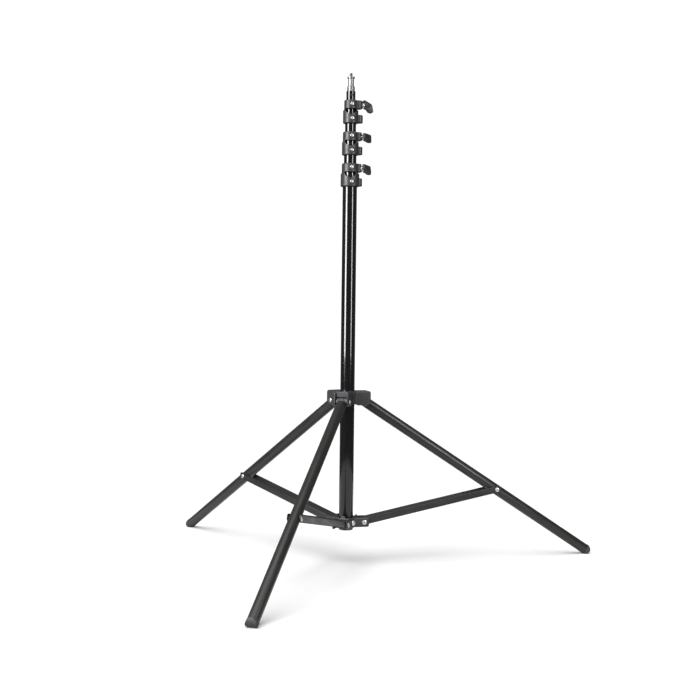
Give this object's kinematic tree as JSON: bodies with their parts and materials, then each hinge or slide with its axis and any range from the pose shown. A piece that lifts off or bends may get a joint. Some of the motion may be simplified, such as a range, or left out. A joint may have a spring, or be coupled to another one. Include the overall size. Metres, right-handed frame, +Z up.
{
  "type": "folding telescopic lighting stand",
  "caption": "Folding tripod lighting stand: telescopic column with clamp collars, sliding leg collar, braced legs and a 16 mm spigot with a threaded tip.",
  "frame": {"origin": "on the floor under the column's axis", "axes": "+Z up along the column, +X towards leg 1 and the clamp levers"},
  "size_m": [0.8429, 0.9728, 1.027],
  "materials": {
    "column_black": "gloss black anodised aluminium tube",
    "leg_black": "satin black coated aluminium tube",
    "brace_grey": "satin black coated pressed channel",
    "cast_grey": "matte dark grey moulding with a fine grain",
    "lever_black": "matte black moulding",
    "bright_steel": "bright plated steel",
    "machined_steel": "turned steel",
    "nylon": "natural nylon",
    "foot_black": "matte black foot"
  },
  "bodies": {
    "root": {"column_tube": "column_black", "column_plug": "lever_black", "hub": "cast_grey", "hub_pins": "bright_steel", "hub_screw": "bright_steel", "collar_1_casting": "cast_grey", "collar_1_front_screws": "bright_steel", "collar_1_nut": "bright_steel", "collar_1_shoe": "nylon"},
    "lever_1": {"collar_1_lever": "lever_black", "collar_1_spacer": "bright_steel", "collar_1_lever_screw": "bright_steel"},
    "riser_1": {"riser_1_tube": "column_black", "riser_1_guide": "nylon", "collar_2_casting": "cast_grey", "collar_2_front_screws": "bright_steel", "collar_2_nut": "bright_steel", "collar_2_shoe": "nylon"},
    "lever_2": {"collar_2_lever": "lever_black", "collar_2_spacer": "bright_steel", "collar_2_lever_screw": "bright_steel"},
    "riser_2": {"riser_2_tube": "column_black", "riser_2_guide": "nylon", "collar_3_casting": "cast_grey", "collar_3_front_screws": "bright_steel", "collar_3_nut": "bright_steel", "collar_3_shoe": "nylon"},
    "lever_3": {"collar_3_lever": "lever_black", "collar_3_spacer": "bright_steel", "collar_3_lever_screw": "bright_steel"},
    "riser_3": {"riser_3_tube": "column_black", "riser_3_guide": "nylon", "spigot": "machined_steel", "spigot_rivet": "bright_steel"},
    "leg_collar": {"leg_collar": "cast_grey", "leg_pins": "bright_steel", "leg_collar_nut": "bright_steel", "leg_collar_shoe": "nylon"},
    "collar_lever": {"leg_collar_lever": "lever_black", "leg_collar_spacer": "bright_steel", "leg_collar_screw": "bright_steel"},
    "leg_1": {"leg_1_tube": "leg_black", "leg_1_knuckle": "lever_black", "leg_1_bush": "bright_steel", "leg_1_foot": "foot_black"},
    "brace_1": {"brace_1_channel": "brace_grey", "brace_1_rivets": "bright_steel"},
    "leg_2": {"leg_2_tube": "leg_black", "leg_2_knuckle": "lever_black", "leg_2_bush": "bright_steel", "leg_2_foot": "foot_black"},
    "brace_2": {"brace_2_channel": "brace_grey", "brace_2_rivets": "bright_steel"},
    "leg_3": {"leg_3_tube": "leg_black", "leg_3_knuckle": "lever_black", "leg_3_bush": "bright_steel", "leg_3_foot": "foot_black"},
    "brace_3": {"brace_3_channel": "brace_grey", "brace_3_rivets": "bright_steel"}
  },
  "joints": [
    {"name": "leg_collar_slide", "type": "slide", "parent": "root", "child": "leg_collar", "axis": [0, 0, 1], "range_m": [0, 0.40364]},
    {"name": "leg_1_hinge", "type": "hinge", "parent": "leg_collar", "child": "leg_1", "pos_m": [0.0353, 0, 0.3425], "axis": [0, 1, 0], "range_deg": [0, 55.09]},
    {"name": "brace_1_hinge", "type": "hinge", "parent": "root", "child": "brace_1", "pos_m": [0.0362, 0, 0.0872], "axis": [0, -1, 0], "range_deg": [0, 76.37]},
    {"name": "leg_2_hinge", "type": "hinge", "parent": "leg_collar", "child": "leg_2", "pos_m": [-0.01765, 0.03057, 0.3425], "axis": [-0.866, -0.5, 0], "range_deg": [0, 55.09]},
    {"name": "brace_2_hinge", "type": "hinge", "parent": "root", "child": "brace_2", "pos_m": [-0.0181, 0.03135, 0.0872], "axis": [0.866, 0.5, 0], "range_deg": [0, 76.37]},
    {"name": "leg_3_hinge", "type": "hinge", "parent": "leg_collar", "child": "leg_3", "pos_m": [-0.01765, -0.03057, 0.3425], "axis": [0.866, -0.5, 0], "range_deg": [0, 55.09]},
    {"name": "brace_3_hinge", "type": "hinge", "parent": "root", "child": "brace_3", "pos_m": [-0.0181, -0.03135, 0.0872], "axis": [-0.866, 0.5, 0], "range_deg": [0, 76.37]},
    {"name": "riser_1_slide", "type": "slide", "parent": "root", "child": "riser_1", "axis": [0, 0, 1], "range_m": [0, 0.58]},
    {"name": "riser_2_slide", "type": "slide", "parent": "riser_1", "child": "riser_2", "axis": [0, 0, 1], "range_m": [0, 0.58]},
    {"name": "riser_3_slide", "type": "slide", "parent": "riser_2", "child": "riser_3", "axis": [0, 0, 1], "range_m": [0, 0.6]},
    {"name": "lever_1_turn", "type": "hinge", "parent": "root", "child": "lever_1", "pos_m": [0.0243, 0, 0.829], "axis": [1, 0, 0], "range_deg": [0, 270]},
    {"name": "lever_2_turn", "type": "hinge", "parent": "riser_1", "child": "lever_2", "pos_m": [0.0243, 0, 0.8945], "axis": [1, 0, 0], "range_deg": [0, 270]},
    {"name": "lever_3_turn", "type": "hinge", "parent": "riser_2", "child": "lever_3", "pos_m": [0.0243, 0, 0.9605], "axis": [1, 0, 0], "range_deg": [0, 270]},
    {"name": "collar_lever_turn", "type": "hinge", "parent": "leg_collar", "child": "collar_lever", "pos_m": [0.015, 0.02598, 0.3505], "axis": [0.5, 0.866, 0], "range_deg": [0, 270]}
  ],
  "couplings": [
    {"joint": "leg_1_hinge", "follows": "leg_collar_slide", "rad_per_m": 2.3818},
    {"joint": "brace_1_hinge", "follows": "leg_collar_slide", "rad_per_m": 3.3022},
    {"joint": "leg_2_hinge", "follows": "leg_collar_slide", "rad_per_m": 2.3818},
    {"joint": "brace_2_hinge", "follows": "leg_collar_slide", "rad_per_m": 3.3022},
    {"joint": "leg_3_hinge", "follows": "leg_collar_slide", "rad_per_m": 2.3818},
    {"joint": "brace_3_hinge", "follows": "leg_collar_slide", "rad_per_m": 3.3022}
  ]
}
